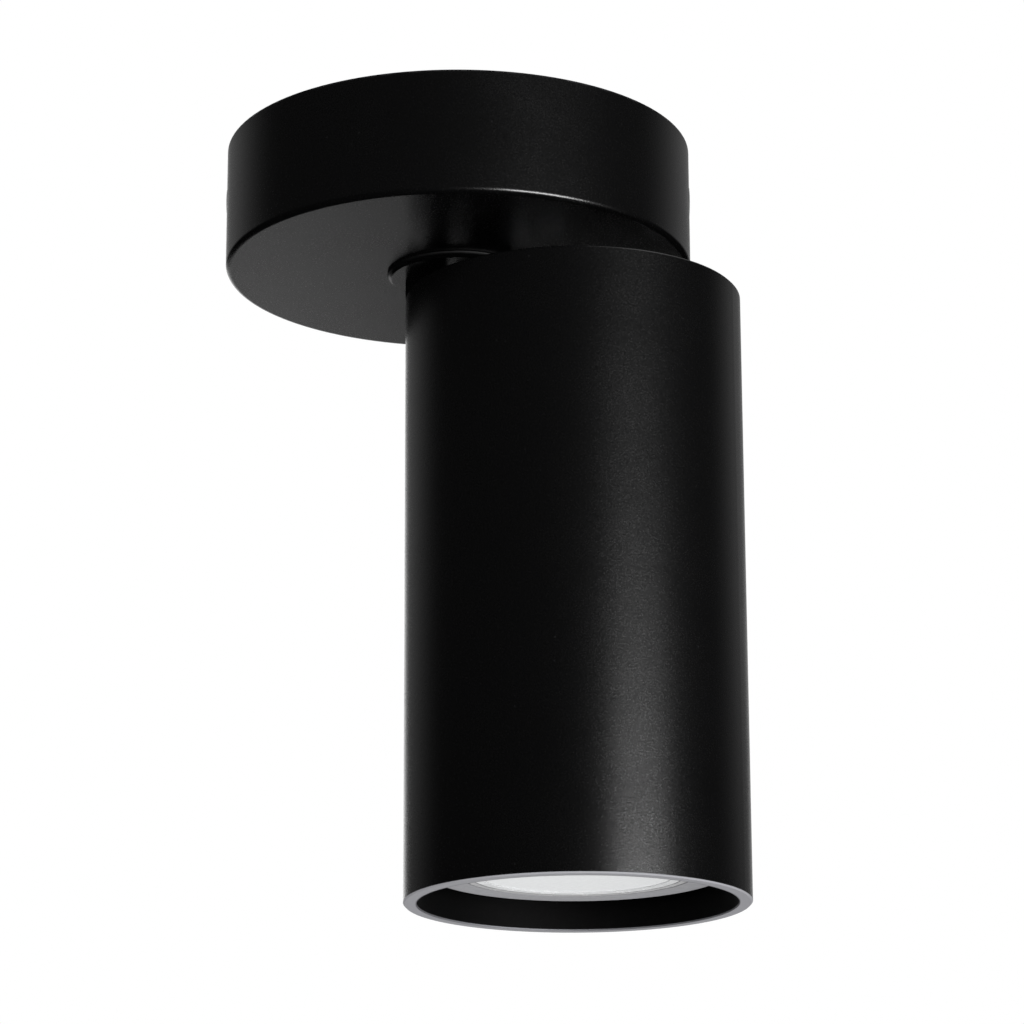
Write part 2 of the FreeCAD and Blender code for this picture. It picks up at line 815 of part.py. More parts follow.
def bent_sleeve(points):
    """Two quarter bends with a short run between them, ending where the bends end."""
    along = (points[2] - points[1]).normalize()
    slant = along + Vector(0, 0, 1)
    first_middle = points[1] + slant * sleeve_first_bend * (1 - arc_middle)
    second_middle = points[2] - slant * sleeve_second_bend * (1 - arc_middle)
    run_start = points[1] + along * sleeve_first_bend
    run_end = points[2] - along * sleeve_second_bend
    route = Part.Wire([Part.Arc(points[0], first_middle, run_start).toShape(),
                       Part.LineSegment(run_start, run_end).toShape(),
                       Part.Arc(run_end, second_middle, points[3]).toShape()])
    section = Part.Wire(Part.Circle(points[0], Vector(0, 0, -1), sleeve_radius).toShape())
    rod = route.makePipeShell([section], True, False)
    print("hinge sleeve", "length", round(route.Length, 1), "volume share",
          round(rod.Volume / (math.pi * sleeve_radius ** 2 * route.Length), 4))
    return rod


# ---- tube, cap and tilt hinge ----

def tilt_slot():
    """The space that the tongue sweeps through the cap and the near wall, from upright to level."""
    depth = pivot_depth + slot_reach
    return block(-pivot_inset - tube_wall, slot_reach, -slot_half_width, slot_half_width,
                 tube_top - depth, tube_top + tube_wall)


def make_lamp_tube():
    tube = ring(tube_radius, tube_inner_radius, tube_rim, tube_top)
    rims = [edge for edge in tube.Edges
            if edge.Closed and abs(edge.BoundBox.XLength - 2 * tube_radius) < small_gap]
    tube = tube.makeChamfer(rim_chamfer, rims)
    return in_tube(tube).cut(tilt_slot())


def make_top_cap():
    cap = in_tube(cylinder(tube_inner_radius - press_clearance, cap_under, tube_top))
    cap = cap.cut(tilt_slot())
    cap = cap.cut(cylinder(grommet_neck_radius + press_clearance, cap_under, tube_top, *sleeve_place))
    for x, y in hinge_screws() + bracket_screws():
        cap = cap.cut(cylinder(screw_radius + small_gap, cap_under, tube_top, x, y))
    return cap


def hinge_screws():
    return [(x, 0.0) for x in hinge_screw_places]


def bracket_screws():
    x = bracket_leg_x - bracket_flange / 2
    return [(x, side * bracket_screw_spread) for side in (-1, 1)]


def make_cap_grommet():
    under = cap_under - grommet_flange_thickness
    over = tube_top + grommet_flange_thickness
    neck = cylinder(grommet_neck_radius, under, over, *sleeve_place)
    flanges = [cylinder(grommet_flange_radius, under, cap_under, *sleeve_place),
               cylinder(grommet_flange_radius, tube_top, over, *sleeve_place)]
    bore = cylinder(sleeve_radius + shaft_clearance, under, over, *sleeve_place)
    return joined([neck] + flanges).cut(bore)


def make_hinge_bracket():
    """Steel plate screwed under the cap, with two ears bent down beside the tongue."""
    near = -ear_radius + wall_clearance
    plate = block(near, hinge_plate_reach, -ear_outer, ear_outer, hinge_plate_under, cap_under)
    wide = block(ear_radius + wall_clearance, hinge_plate_reach, -hinge_plate_half_width,
                 hinge_plate_half_width, hinge_plate_under, cap_under)
    plate = plate.fuse(wide)
    plate = plate.cut(block(near, slot_reach, -ear_inner, ear_inner, hinge_plate_under, cap_under))
    ears = []
    for y0 in (ear_inner, -ear_outer):
        ears.append(block(near, ear_radius, y0, y0 + ear_thickness, pivot_z, hinge_plate_under))
        ears.append(Part.makeCylinder(ear_radius - wall_clearance, ear_thickness,
                                      Vector(0, y0, pivot_z), Vector(0, 1, 0)))
    bracket = joined([plate] + ears)
    bracket = bracket.cut(Part.makeCylinder(pivot_radius + shaft_clearance, 2 * ear_outer,
                                            Vector(0, -ear_outer, pivot_z), Vector(0, 1, 0)))
    for x, y in hinge_screws():
        bracket = bracket.cut(cylinder(screw_radius + thread_clearance, hinge_plate_under, cap_under, x, y))
    limit = in_tube(cylinder(tube_inner_radius - wall_clearance, pivot_z - 2 * ear_radius, cap_under))
    return bracket.common(limit)


def make_hinge_bracket_screws():
    return group([moved(pan_head_screw(cap_thickness + 2 * ear_thickness), x, y, tube_top)
                  for x, y in hinge_screws()])


def across(shape):
    """Turns a piece drawn up +Z to lie along +Y through the tilt axis."""
    return aimed(shape, (0, 0, pivot_z), (0, 1, 0))


def make_tilt_washers():
    inner = tongue_half + running_gap
    washers = [ring(tilt_washer_radius, pivot_radius + shaft_clearance, y0, y0 + tilt_washer_thickness)
               for y0 in (inner, -inner - tilt_washer_thickness)]
    return across(group(washers))


def make_tilt_screw():
    end = -(ear_outer + tilt_spring_thickness + tilt_nut_height + tilt_screw_stand_out)
    shank = cylinder(pivot_radius, end, ear_outer)
    head_top = ear_outer + tilt_head_height
    socket_floor = head_top - tilt_head_height * socket_depth_share
    head = cylinder(tilt_head_radius, ear_outer, head_top)
    socket = hexagon(tilt_head_radius * socket_share, socket_floor, head_top)
    return across(joined([shank, head]).cut(socket))


def make_tilt_spring_washer():
    return across(ring(tilt_washer_radius, pivot_radius + shaft_clearance,
                       -ear_outer - tilt_spring_thickness, -ear_outer))


def make_tilt_nut():
    start = -ear_outer - tilt_spring_thickness
    end = start - tilt_nut_height
    collar_start = end + tilt_nut_height * nut_collar_share
    nut = hexagon(tilt_nut_flats, collar_start, start)
    nut = joined([nut, cylinder(tilt_nut_flats * nut_collar_radius_share, end, collar_start)])
    return across(nut.cut(cylinder(pivot_radius + thread_clearance, end, start)))


# ---- lampholder ----

def make_holder_bracket():
    """Bent steel strip: flange under the cap, leg down the tube, shelf over the lampholder."""
    half = bracket_width / 2
    outer = bracket_leg_x + bracket_thickness
    shelf_start = tube_offset - holder_screw_spread - screw_head_radius
    flange_start = bracket_leg_x - bracket_flange
    flange = block(flange_start, outer, -half, half, cap_under - bracket_thickness, cap_under)
    leg = block(bracket_leg_x, outer, -half, half, holder_top, cap_under)
    shelf = block(shelf_start, outer, -half, half, holder_top, shelf_top)
    bracket = joined([flange, leg, shelf])
    for x, y in bracket_screws():
        bracket = bracket.cut(cylinder(screw_radius + thread_clearance, cap_under - bracket_thickness,
                                       cap_under, x, y))
    for x, y in holder_screws():
        bracket = bracket.cut(cylinder(screw_radius + small_gap, holder_top, shelf_top, x, y))
    for x, y in pin_places():
        bracket = bracket.cut(cylinder(contact_barrel_radius + wall_clearance, holder_top, shelf_top, x, y))
    return bracket.cut(cylinder(screw_radius + thread_clearance, holder_top, shelf_top, head_ring_x))


def make_holder_bracket_screws():
    length = cap_thickness + 2 * bracket_thickness
    return group([moved(pan_head_screw(length), x, y, tube_top) for x, y in bracket_screws()])


def holder_screws():
    return [(tube_offset + side * holder_screw_spread, 0.0) for side in (-1, 1)]


def pin_places():
    """The lamp's two pins stand side by side along the tilt axis."""
    return [(tube_offset, side * pin_spacing / 2) for side in (-1, 1)]


def pin_path(radius, z0, z1, start_angle):
    """The space of a round pin that turns with the lamp, from where it locks to where it lifts out."""
    steps = [start_angle, lamp_unlock_angle / 2, lamp_unlock_angle]
    path = []
    for side in (-1, 1):
        for angle in steps:
            spot = cylinder(radius, z0, z1, 0, side * pin_spacing / 2)
            spot.rotate(Vector(), Vector(0, 0, -1), angle)
            path.append(spot)
        sector = ring(pin_spacing / 2 + radius, pin_spacing / 2 - radius, z0, z1)
        reach = 2 * holder_radius
        wedge = [(0, 0), turned_point(reach, side, start_angle), turned_point(reach, side, lamp_unlock_angle)]
        path.append(sector.common(prism(wedge, z0, z1)))
    return joined(path)


def turned_point(reach, side, angle):
    """A point on the pins' line, after the lamp has turned by an angle about -Z."""
    turn = math.radians(angle)
    return reach * side * math.sin(turn), reach * side * math.cos(turn)


def make_lampholder():
    body = cylinder(holder_radius, holder_under, holder_top)
    rims = [edge for edge in body.Edges if edge.Closed]
    body = body.makeChamfer(wall_clearance, rims)
    body = body.cut(pin_path(pin_neck_radius + pin_slot_gap, holder_under, pocket_under, 0))
    for side in (-1, 1):
        x, y = turned_point(pin_spacing / 2, side, lamp_unlock_angle)
        body = body.cut(cylinder(pin_head_radius + pin_slot_gap, holder_under, pocket_under, x, y))
    body = body.cut(pin_path(pin_head_radius + pin_slot_gap, pocket_under, pocket_top, 0))
    body = in_tube(body)
    for x, y in pin_places():
        body = body.cut(cylinder(contact_barrel_radius + small_gap, pocket_top, holder_top, x, y))
    thread_end = holder_top - holder_height * holder_thread_share
    for x, y in holder_screws():
        body = body.cut(cylinder(screw_radius + thread_clearance, thread_end, holder_top, x, y))
    return body


def make_lampholder_contacts():
    """A pressed foot that the pin's head rubs on, and the crimped barrel that takes the lead."""
    contacts = []
    foot_top = pocket_top + (holder_top - pocket_top) * contact_foot_share
    for x, y in pin_places():
        barrel = cylinder(contact_barrel_radius, pocket_top, barrel_top, x, y)
        bore = cylinder(lead_radius + shaft_clearance, foot_top, barrel_top, x, y)
        contacts.append(barrel.cut(bore))
    return group(contacts)


def make_lampholder_screws():
    length = bracket_thickness + holder_height * holder_screw_share
    return group([moved(pan_head_screw(length), x, y, shelf_top) for x, y in holder_screws()])


def make_head_earth_ring():
    terminal = ring_terminal(small_ring_radius, screw_radius + shaft_clearance)
    terminal.rotate(Vector(), Vector(0, 0, 1), 90)
    return moved(terminal, head_ring_x, 0, shelf_top)


def make_head_earth_screw():
    return moved(pan_head_screw(ring_thickness + 2 * bracket_thickness), head_ring_x, 0,
                 shelf_top + ring_thickness)


def make_head_sleeve():
    return cylinder(sleeve_radius, sleeve_end, sleeve_landing, *sleeve_place)


def head_lead_seat(index):
    """Where a lead leaves the lower end of the sleeve in the tube."""
    return Vector(*sleeve_place, sleeve_end) + lead_seats()[index]


def drop_height(share):
    """A height in the tube, as a share of the way up from the contact barrels to the sleeve's end."""
    return barrel_top + lead_drop * share


def make_head_lead_live():
    """To the nearer contact barrel."""
    seat = head_lead_seat(0)
    x, y = pin_places()[1]
    upper, lower = live_route_shares
    return round_rod("head lead live", [
        seat,
        Vector(seat.x, seat.y, drop_height(upper)),
        Vector(x, y, drop_height(lower)),
        Vector(x, y, barrel_top - contact_barrel_height * contact_tuck_share)], lead_radius)


def make_head_lead_neutral():
    """To the farther contact barrel, over the live lead."""
    seat = head_lead_seat(1)
    x, y = pin_places()[0]
    upper, middle, lower = neutral_route_shares
    return round_rod("head lead neutral", [
        seat,
        Vector(seat.x, seat.y, drop_height(upper)),
        Vector(x - lead_bend, y, drop_height(middle)),
        Vector(x, y, drop_height(lower)),
        Vector(x, y, barrel_top - contact_barrel_height * contact_tuck_share)], lead_radius)


def make_head_lead_earth():
    """Round the side of the tube and over both to the earth ring on the bracket's shelf."""
    seat = head_lead_seat(2)
    upper, lower = earth_route_shares
    level = shelf_top + ring_barrel_radius
    mouth = ring_mouth(small_ring_radius)
    return round_rod("head lead earth", [
        seat,
        Vector(seat.x, seat.y, drop_height(upper)),
        Vector(tube_offset, seat.y + lead_bend, drop_height(lower)),
        Vector(head_ring_x, mouth + lead_bend, barrel_top),
        Vector(head_ring_x, mouth + lead_bend / 2, level),
        Vector(head_ring_x, mouth - ring_barrel_length / 2, level)], lead_radius)


# ---- lamp ----

def make_lamp_housing():
    """Thin-walled reflector body with a rolled front edge, open behind for the board and the base."""
    half = lamp_diameter / 2
    roll = half - lamp_face_radius
    waist = lamp_face + lamp_waist_height
    collar = lamp_base_radius + lamp_wall
    seat_inner = (lamp_lip_inner_radius + lens_seat_radius) / 2
    turns = [math.radians(angle) for angle in (0, 30, 60, 90)]
    rolled = [(lamp_face_radius + roll * math.sin(turn), lamp_face + roll * (1 - math.cos(turn)))
              for turn in turns]
    outer = [(lamp_lip_inner_radius, lamp_face)] + rolled + [
        (half, lamp_face + lamp_straight),
        (lamp_waist_radius, waist),
        (collar, lamp_base_under + lamp_wall),
        (collar, housing_collar_top),
    ]
    inner = [
        (lamp_base_radius + small_gap, housing_collar_top),
        (lamp_base_radius + small_gap, lamp_base_under),
        (lamp_waist_radius - lamp_wall, waist),
        (half - lamp_wall, lamp_face + lamp_straight),
        (half - lamp_wall, lamp_face + lamp_lip_thickness + lamp_wall),
        (seat_inner, lamp_face + lamp_lip_thickness + lamp_wall),
        (seat_inner, lamp_face + lamp_lip_thickness),
        (lamp_lip_inner_radius, lamp_face + lamp_lip_thickness),
    ]
    return in_tube(turned(outer + inner))


def make_lens_ring():
    seat = lamp_face + lens_ring_thickness
    return in_tube(turned([
        (lens_radius + small_gap, lamp_face), (lens_ring_radius - small_gap, lamp_face),
        (lens_ring_radius, lamp_face + small_gap), (lens_ring_radius, seat), (lens_seat_radius, seat),
        (lens_seat_radius, lamp_face + lens_thickness + small_gap),
        (lens_radius + small_gap, lamp_face + lens_thickness + small_gap)]))


def make_lamp_lens():
    return in_tube(cylinder(lens_radius, lamp_face + small_gap, lamp_face + small_gap + lens_thickness))


def housing_inner_radius(height):
    """Inside radius of the housing's cone at a height above the lamp's face."""
    share = (height - lamp_straight) / (lamp_waist_height - lamp_straight)
    return lamp_diameter / 2 - lamp_wall - share * (lamp_diameter / 2 - lamp_waist_radius)


def make_led_board():
    """Held by its rim where the housing's cone narrows to it."""
    radius = housing_inner_radius(board_depth + board_thickness) - small_gap
    return in_tube(cylinder(radius, led_board_under, led_board_under + board_thickness))


def make_leds():
    half = led_size / 2
    leds = []
    for k in range(led_count):
        led = block(led_circle - half, led_circle + half, -half, half,
                    led_board_under - led_height, led_board_under)
        led.rotate(Vector(), Vector(0, 0, 1), 360 * k / led_count)
        leds.append(in_tube(led))
    return group(leds)


def make_driver_board():
    half = driver_width / 2
    back = driver_thickness / 2
    return in_tube(block(-back, back, -half, half, driver_under, driver_top))


def driver_span(bottom, top):
    """Lower and upper end of a component, from shares of the board's height."""
    height = driver_top - driver_under
    return driver_under + height * bottom, driver_under + height * top


def make_driver_parts():
    """A capacitor on one face of the board, a choke and a chip on the other."""
    face = driver_thickness / 2 + running_gap
    share, depth, bottom, top = capacitor_shares
    radius = driver_width * share
    parts = [cylinder(radius, *driver_span(bottom, top), face + driver_width * depth / 2)]
    for share, depth, bottom, top in (choke_shares, chip_shares):
        half = driver_width * share
        parts.append(block(-face - driver_width * depth, -face, -half, half, *driver_span(bottom, top)))
    return group([in_tube(part) for part in parts])


def make_lamp_base():
    """The lamp's insulating base: a closed cup that carries the two pins."""
    step = lamp_base_radius - lamp_base_wall
    outline = [
        (0, lamp_top), (step, lamp_top), (lamp_base_radius, lamp_top - lamp_base_wall),
        (lamp_base_radius, lamp_base_under), (step, lamp_base_under),
        (step, lamp_base_floor), (0, lamp_base_floor)]
    base = in_tube(turned(outline))
    for x, y in pin_places():
        base = base.cut(cylinder(pin_neck_radius + press_clearance, lamp_base_floor, lamp_top, x, y))
    return base


def make_lamp_pins():
    pins = []
    for x, y in pin_places():
        neck = cylinder(pin_neck_radius, pin_tail, pin_tip - pin_head_height, x, y)
        head = cylinder(pin_head_radius, pin_tip - pin_head_height, pin_tip, x, y)
        head = head.makeChamfer(small_gap * 2, [edge for edge in head.Edges if edge.Closed])
        pins.append(joined([neck, head]))
    return group(pins)


# ---- one file for each node ----

fixed_nodes = {
    "canopy_cup": make_canopy_cup,
    "ceiling_strap": make_ceiling_strap,
    "canopy_screws": make_canopy_screws,
    "pan_stop_pin": make_pan_stop_pin,
    "pan_friction_washer": make_pan_friction_washer,
    "terminal_block": make_terminal_block,
    "terminal_sleeves": make_terminal_sleeves,
    "terminal_clamp_screws": make_terminal_screws,
    "terminal_fixing_screws": make_terminal_fixing_screws,
    "earth_stud": make_earth_stud,
    "earth_ring": make_earth_ring,
    "earth_nut": make_earth_nut,
    "earth_lead": make_earth_lead,
    "canopy_lead_live": make_canopy_lead_live,
    "canopy_lead_neutral": make_canopy_lead_neutral,
    "canopy_lead_earth": make_canopy_lead_earth,
}

panned_nodes = {
    "swivel_arm": make_swivel_arm,
    "pan_stop_washer": make_pan_stop_washer,
    "pan_spring_washer": make_pan_spring_washer,
    "pan_nut": make_pan_nut,
    "stem_sleeve": make_stem_sleeve,
    "hinge_sleeve": make_hinge_sleeve,
    "lamp_tube": make_lamp_tube,
    "top_cap": make_top_cap,
    "cap_grommet": make_cap_grommet,
    "hinge_bracket": make_hinge_bracket,
    "hinge_bracket_screws": make_hinge_bracket_screws,
    "tilt_washers": make_tilt_washers,
    "tilt_screw": make_tilt_screw,
    "tilt_spring_washer": make_tilt_spring_washer,
    "tilt_nut": make_tilt_nut,
    "holder_bracket": make_holder_bracket,
    "holder_bracket_screws": make_holder_bracket_screws,
    "lampholder": make_lampholder,
    "lampholder_contacts": make_lampholder_contacts,
    "lampholder_screws": make_lampholder_screws,
    "head_earth_ring": make_head_earth_ring,
    "head_earth_screw": make_head_earth_screw,
    "head_sleeve": make_head_sleeve,
    "head_lead_live": make_head_lead_live,
    "head_lead_neutral": make_head_lead_neutral,
    "head_lead_earth": make_head_lead_earth,
    "lamp_housing": make_lamp_housing,
    "lens_ring": make_lens_ring,
    "lamp_lens": make_lamp_lens,
    "led_board": make_led_board,
    "leds": make_leds,
    "driver_board": make_driver_board,
    "driver_parts": make_driver_parts,
    "lamp_base": make_lamp_base,
    "lamp_pins": make_lamp_pins,
}

os.makedirs("parts", exist_ok=True)
for name, make in fixed_nodes.items():
    make().exportStep(f"parts/{name}.step")
for name, make in panned_nodes.items():
    panned(make()).exportStep(f"parts/{name}.step")
print(len(fixed_nodes) + len(panned_nodes), "nodes")
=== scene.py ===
import math

import bmesh
import bpy
from mathutils import Matrix, Vector


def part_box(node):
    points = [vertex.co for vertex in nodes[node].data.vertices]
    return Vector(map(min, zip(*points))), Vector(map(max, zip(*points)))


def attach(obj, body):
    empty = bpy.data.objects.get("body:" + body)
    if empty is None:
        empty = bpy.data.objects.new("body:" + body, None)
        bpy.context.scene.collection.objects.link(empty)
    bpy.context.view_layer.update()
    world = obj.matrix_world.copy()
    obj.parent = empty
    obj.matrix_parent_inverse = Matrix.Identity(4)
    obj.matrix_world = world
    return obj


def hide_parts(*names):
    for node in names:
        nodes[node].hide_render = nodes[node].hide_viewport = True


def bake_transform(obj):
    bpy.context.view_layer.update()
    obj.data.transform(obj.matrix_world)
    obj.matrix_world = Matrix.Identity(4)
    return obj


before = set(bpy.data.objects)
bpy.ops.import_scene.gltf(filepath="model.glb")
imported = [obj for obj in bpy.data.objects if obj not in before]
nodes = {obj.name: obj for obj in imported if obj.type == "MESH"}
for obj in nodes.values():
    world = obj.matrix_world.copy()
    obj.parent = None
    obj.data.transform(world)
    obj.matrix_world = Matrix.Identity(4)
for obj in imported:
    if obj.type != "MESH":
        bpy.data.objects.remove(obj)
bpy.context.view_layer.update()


# ---- canopy cup ----
# A cup pressed from sheet steel and powder coated a deep satin black inside and out. The coat has
# the fine even grain of powder that has flowed in the oven, and it is rubbed a little along the rim.

def node_group(name, inputs, outputs):
    """An empty shader group with named float or vector sockets, and its two end nodes."""
    group = bpy.data.node_groups.new(name, "ShaderNodeTree")
    for label, kind, value in inputs:
        socket = group.interface.new_socket(label, in_out="INPUT", socket_type=kind)
        if value is not None:
            socket.default_value = value
    for label, kind in outputs:
        group.interface.new_socket(label, in_out="OUTPUT", socket_type=kind)
    return group, group.nodes.new("NodeGroupInput"), group.nodes.new("NodeGroupOutput")


def noise(tree, vector, cell, detail, rough=0.55, stretch=None):
    """A noise texture on a vector; cell is the length in metres of one cell of it."""
    texture = tree.nodes.new("ShaderNodeTexNoise")
    texture.inputs["Scale"].default_value = 1 / cell
    texture.inputs["Detail"].default_value = detail
    texture.inputs["Roughness"].default_value = rough
    if stretch:
        mapping = tree.nodes.new("ShaderNodeMapping")
        mapping.inputs["Scale"].default_value = stretch
        tree.links.new(vector, mapping.inputs["Vector"])
        vector = mapping.outputs["Vector"]
    tree.links.new(vector, texture.inputs["Vector"])
    return texture.outputs["Fac"]


def remap(tree, value, low, high, to_low, to_high):
    """Takes a value smoothly from one range to another, and holds it beyond the ends."""
    node = tree.nodes.new("ShaderNodeMapRange")
    node.interpolation_type = "SMOOTHSTEP"
    limits = {"From Min": low, "From Max": high, "To Min": to_low, "To Max": to_high}
    for socket, number in limits.items():
        node.inputs[socket].default_value = number
    tree.links.new(value, node.inputs["Value"])
    return node.outputs["Result"]


def math_node(tree, operation, first, second):
    """One operation on two values, each a number or another node's output."""
    node = tree.nodes.new("ShaderNodeMath")
    node.operation = operation
    for socket, value in zip(node.inputs, (first, second)):
        if isinstance(value, (int, float)):
            socket.default_value = value
        else:
            tree.links.new(value, socket)
    return node.outputs["Value"]


def blend_colours(tree, mask, first, second):
    """The first colour where the mask is 0 and the second where it is 1."""
    node = tree.nodes.new("ShaderNodeMix")
    node.data_type = "RGBA"
    tree.links.new(mask, node.inputs["Factor"])
    for label, colour in (("A", first), ("B", second)):
        socket = [s for s in node.inputs if s.name == label and s.type == "RGBA"][0]
        if isinstance(colour, tuple):
            socket.default_value = (*colour, 1)
        else:
            tree.links.new(colour, socket)
    return [s for s in node.outputs if s.type == "RGBA"][0]


noise_low, noise_high = 0.3, 0.7  # nearly all of a noise texture lies between these
fine_share = 0.6  # the fine grain's height, as a share of the coarse grain's
grain_middle = 0.5 * (1 + fine_share)  # the middle of the two together


def build_grain_group():
    """Fine grain for the gloss and a bump, slow patches for the gloss, and stray dust for the colour."""
    group, start, end = node_group(
        "fine_grain", [("Vector", "NodeSocketVector", None)],
        [("Height", "NodeSocketFloat"), ("Patches", "NodeSocketFloat"), ("Dust", "NodeSocketFloat")])
    vector = start.outputs["Vector"]
    coarse = noise(group, vector, 0.0003, 2, 0.5)
    fine = math_node(group, "MULTIPLY", noise(group, vector, 0.00012, 2, 0.6), fine_share)
    patches = noise(group, vector, 0.018, 4, 0.6)
    specks = noise(group, vector, 0.0007, 1, 0.4)
    group.links.new(math_node(group, "ADD", coarse, fine), end.inputs["Height"])
    group.links.new(remap(group, patches, noise_low, noise_high, 0, 1), end.inputs["Patches"])
    group.links.new(remap(group, specks, 0.76, 0.84, 0, 1), end.inputs["Dust"])
    return group


def build_band_group():
    """1 where a value lies between two limits, with soft ends."""
    group, start, end = node_group(
        "band", [("Value", "NodeSocketFloat", 0.0), ("Low", "NodeSocketFloat", 0.0),
                 ("High", "NodeSocketFloat", 1.0), ("Softness", "NodeSocketFloat", 0.0001)],
        [("Mask", "NodeSocketFloat")])
    value, low, high, soft = [start.outputs[label] for label in ("Value", "Low", "High", "Softness")]
    rise = math_node(group, "DIVIDE", math_node(group, "SUBTRACT", value, low), soft)
    fall = math_node(group, "DIVIDE", math_node(group, "SUBTRACT", high, value), soft)
    least = math_node(group, "MINIMUM", rise, fall)
    clamp = group.nodes.new("ShaderNodeClamp")
    group.links.new(least, clamp.inputs["Value"])
    group.links.new(clamp.outputs["Result"], end.inputs["Mask"])
    return group


fine_grain = build_grain_group()
band = build_band_group()


def new_material(name):
    """A material with its node tree, its Principled shader and its Object coordinates."""
    material = bpy.data.materials.new(name)
    material.use_nodes = True
    tree = material.node_tree
    place = tree.nodes.new("ShaderNodeTexCoord").outputs["Object"]
    return material, tree, tree.nodes["Principled BSDF"], place


def parts_of(material):
    """The same three things of a material that is already made."""
    nodes_in_it = material.node_tree.nodes
    return (material.node_tree, nodes_in_it["Principled BSDF"],
            nodes_in_it["Texture Coordinate"].outputs["Object"])


def use_group(tree, group, **values):
    """Places a group in a material, with each input a number or another node's output."""
    node = tree.nodes.new("ShaderNodeGroup")
    node.node_tree = group
    for label, value in values.items():
        if isinstance(value, (int, float)):
            node.inputs[label].default_value = value
        else:
            tree.links.new(value, node.inputs[label])
    return node


def mask_between(tree, value, low, high, soft):
    """1 where a value lies between two limits in a material."""
    return use_group(tree, band, Value=value, Low=low, High=high, Softness=soft).outputs["Mask"]


def bump(tree, shader, height, strength, distance):
    """Raises the surface by a height between 0 and 1 times a distance in metres."""
    node = tree.nodes.new("ShaderNodeBump")
    node.inputs["Strength"].default_value = strength
    node.inputs["Distance"].default_value = distance
    tree.links.new(height, node.inputs["Height"])
    tree.links.new(node.outputs["Normal"], shader.inputs["Normal"])


def distance_from_axis(tree, place, centre):
    """How far a point is from a vertical axis."""
    move = tree.nodes.new("ShaderNodeMapping")
    move.inputs["Location"].default_value = (-centre[0], -centre[1], 0)
    move.inputs["Scale"].default_value = (1, 1, 0)
    tree.links.new(place, move.inputs["Vector"])
    length = tree.nodes.new("ShaderNodeVectorMath")
    length.operation = "LENGTH"
    tree.links.new(move.outputs["Vector"], length.inputs[0])
    return length.outputs["Value"]


def directions(tree, place):
    """A vector's three parts, X, Y and Z."""
    split = tree.nodes.new("ShaderNodeSeparateXYZ")
    tree.links.new(place, split.inputs["Vector"])
    return split.outputs["X"], split.outputs["Y"], split.outputs["Z"]


coat_black = (0.0013, 0.0013, 0.0014)
coat_dust = (0.008, 0.008, 0.0084)
coat_rubbed = (0.03, 0.03, 0.032)
coat_roughness = 0.24
coat_speckle = 0.17
coat_specular = 0.8
rim_depth = 0.00035
rim_softness = 0.0003


def powder_coat(name):
    """Satin black powder coat, its gloss nearly even in the large and speckled with the grain."""
    material, tree, shader, place = new_material(name)
    grain = use_group(tree, fine_grain, Vector=place)
    colour = blend_colours(tree, grain.outputs["Dust"], coat_black, coat_dust)
    even = remap(tree, grain.outputs["Patches"], 0, 1, coat_roughness - 0.005, coat_roughness + 0.012)
    above_middle = math_node(tree, "SUBTRACT", grain.outputs["Height"], grain_middle)
    speckle = math_node(tree, "MULTIPLY", above_middle, coat_speckle)
    tree.links.new(colour, shader.inputs["Base Color"])
    tree.links.new(math_node(tree, "ADD", even, speckle), shader.inputs["Roughness"])
    shader.inputs["Specular IOR Level"].default_value = coat_specular
    bump(tree, shader, grain.outputs["Height"], 0.4, 0.00003)
    return material


def over_colour(tree, shader, mask, colour):
    """Lays one more colour over what a material's Base Color has."""
    below = shader.inputs["Base Color"].links[0].from_socket
    tree.links.new(blend_colours(tree, mask, below, colour), shader.inputs["Base Color"])


def canopy_coat():
    """The canopy's coat, rubbed in patches where the rim is pressed against the ceiling."""
    material = powder_coat("canopy_coat")
    tree, shader, place = parts_of(material)
    height = directions(tree, place)[2]
    rubbed = mask_between(tree, height, -rim_depth, 0.001, rim_softness)
    patches = remap(tree, noise(tree, place, 0.004, 3), 0.35, noise_high, 0, 1)
    over_colour(tree, shader, math_node(tree, "MULTIPLY", rubbed, patches), coat_rubbed)
    return material


def dress(material, *names):
    """Gives CAD nodes their finish."""
    for name in names:
        for slot in nodes[name].material_slots:
            slot.material = material


dress(canopy_coat(), "canopy_cup")


# ---- ceiling strap, screws, nuts and washers ----
# Steel strip bent and pierced, zinc plated, with the faint lengthwise rolling lines of the strip
# and the cloudy bloom of the plating bath.

def build_brushed_group():
    """Fine lines along one axis, and cloudy plating."""
    group, start, end = node_group(
        "brushed", [("Vector", "NodeSocketVector", None)],
        [("Lines", "NodeSocketFloat"), ("Clouds", "NodeSocketFloat")])
    vector = start.outputs["Vector"]
    lines = noise(group, vector, 0.00025, 3, 0.6, (0.03, 1, 1))
    clouds = noise(group, vector, 0.006, 5, 0.6)
    group.links.new(lines, end.inputs["Lines"])
    group.links.new(remap(group, clouds, noise_low, noise_high, 0, 1), end.inputs["Clouds"])
    return group


brushed = build_brushed_group()


def metal(name, light, dark, roughness):
    """Bare or plated metal between two tones."""
    material, tree, shader, place = new_material(name)
    pattern = use_group(tree, brushed, Vector=place)
    lines = pattern.outputs["Lines"]
    rough = remap(tree, lines, noise_low, noise_high, roughness - 0.08, roughness + 0.1)
    tree.links.new(blend_colours(tree, pattern.outputs["Clouds"], dark, light), shader.inputs["Base Color"])
    tree.links.new(rough, shader.inputs["Roughness"])
    shader.inputs["Metallic"].default_value = 0.78
    bump(tree, shader, lines, 0.15, 0.00002)
    return material


